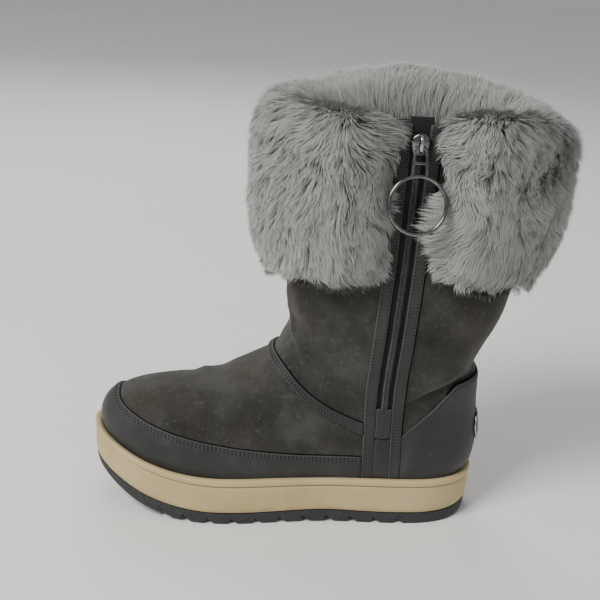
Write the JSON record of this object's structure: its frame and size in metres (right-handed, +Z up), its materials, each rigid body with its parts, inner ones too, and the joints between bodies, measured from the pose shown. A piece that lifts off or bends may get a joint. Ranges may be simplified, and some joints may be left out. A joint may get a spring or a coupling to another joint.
{
  "type": "snow boot",
  "caption": "Mid-calf snow boot for the left foot: suede upper with smooth leather guards, fold-over fur cuff, outer side zip with ring pull, cream cupsole on a lugged rubber outsole",
  "frame": {"origin": "on the floor under the middle of the boot's bounding box, the boot standing on its sole", "axes": "+Z up, toe towards -X and heel towards +X, the outer side with the zip towards -Y and the inner side towards +Y"},
  "size_m": [0.3336, 0.1614, 0.3233],
  "materials": {
    "suede": "matte dark warm grey suede with a mottled nap",
    "nubuck": "smooth dark bluish grey nubuck, slight sheen",
    "cupsole_rubber": "matte cream rubber with a fine dotted wall",
    "outsole_rubber": "matte black-grey rubber",
    "insole_fabric": "grey pile footbed",
    "fur": "long light cool grey artificial fur",
    "zip_fabric": "black woven zip tape",
    "zip_teeth": "black coil teeth",
    "nickel": "dark polished nickel",
    "badge_metal": "plain dark metal plate"
  },
  "bodies": {
    "boot": {"upper": "suede", "cupsole": "cupsole_rubber", "insole": "insole_fabric", "outsole": "outsole_rubber", "toe_guard": "nubuck", "heel_counter": "nubuck", "ankle_binding": "nubuck", "zip_strip_front": "nubuck", "zip_strip_rear": "nubuck", "zip_tape": "zip_fabric", "zip_chain": "zip_teeth", "zip_tab": "nubuck", "zip_base": "nubuck", "zip_slider": "nickel", "heel_badge": "badge_metal", "fur_cuff": "fur"},
    "zip_pull": {"zip_pull": "nickel"}
  },
  "joints": [
    {"name": "zip_pull_hinge", "type": "hinge", "parent": "boot", "child": "zip_pull", "pos_m": [0.0459, -0.0594, 0.283], "axis": [-1, 0, 0], "range_deg": [0, 120]}
  ]
}
